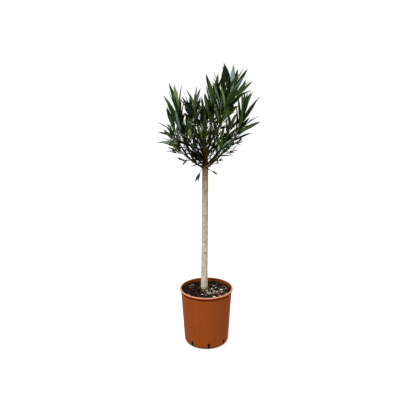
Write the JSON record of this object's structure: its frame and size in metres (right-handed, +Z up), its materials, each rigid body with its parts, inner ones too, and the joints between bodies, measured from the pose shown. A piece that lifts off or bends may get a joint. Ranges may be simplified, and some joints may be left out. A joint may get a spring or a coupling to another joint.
{
  "type": "potted oleander",
  "caption": "Oleander grown as a small tree: one bare trunk forks into an open crown of narrow whorled leaves, rooted in a round terracotta-coloured plastic pot.",
  "frame": {"origin": "centre of the pot's flat underside, on the ground", "axes": "+Z up along the pot's axis, -Y towards the viewer of the picture, +X to the viewer's right; metres"},
  "size_m": [0.6068, 0.4896, 1.6979],
  "materials": {
    "pot": "moulded terracotta-coloured plastic, satin, paler on the rolled rim",
    "soil": "moist dark potting compost with pale bark chips",
    "bark": "thin smooth pale grey-tan bark with faint rings, browner towards the fork",
    "bough_bark": "young olive-brown bark, greener towards the tips",
    "foliage": "leathery dark green leaves with paler midribs and grey-green undersides"
  },
  "bodies": {
    "root": {"pot": "pot", "soil": "soil", "trunk": "bark", "bough_left_low": "bough_bark", "bough_right_outer": "bough_bark", "bough_back_low_left": "bough_bark", "bough_front_low": "bough_bark", "bough_back_low_right": "bough_bark", "bough_front_left": "bough_bark", "bough_back_middle": "bough_bark", "bough_front_middle": "bough_bark", "bough_back_left": "bough_bark", "bough_front_right": "bough_bark", "bough_back_right": "bough_bark", "bough_left_middle": "bough_bark", "bough_top_right": "bough_bark", "bough_top_middle": "bough_bark", "bough_left_top": "bough_bark", "bough_left_outer": "bough_bark", "bough_right_low": "bough_bark", "bough_right_top": "bough_bark", "bough_right_front": "bough_bark", "foliage_left_low": "foliage", "foliage_right_outer": "foliage", "foliage_back_low_left": "foliage", "foliage_front_low": "foliage", "foliage_back_low_right": "foliage", "foliage_front_left": "foliage", "foliage_back_middle": "foliage", "foliage_front_middle": "foliage", "foliage_back_left": "foliage", "foliage_front_right": "foliage", "foliage_back_right": "foliage", "foliage_left_middle": "foliage", "foliage_top_right": "foliage", "foliage_top_middle": "foliage", "foliage_left_top": "foliage", "foliage_left_outer": "foliage", "foliage_right_low": "foliage", "foliage_right_top": "foliage", "foliage_right_front": "foliage", "foliage_spur_left": "foliage", "foliage_spur_right": "foliage", "foliage_spur_low": "foliage"}
  },
  "joints": []
}
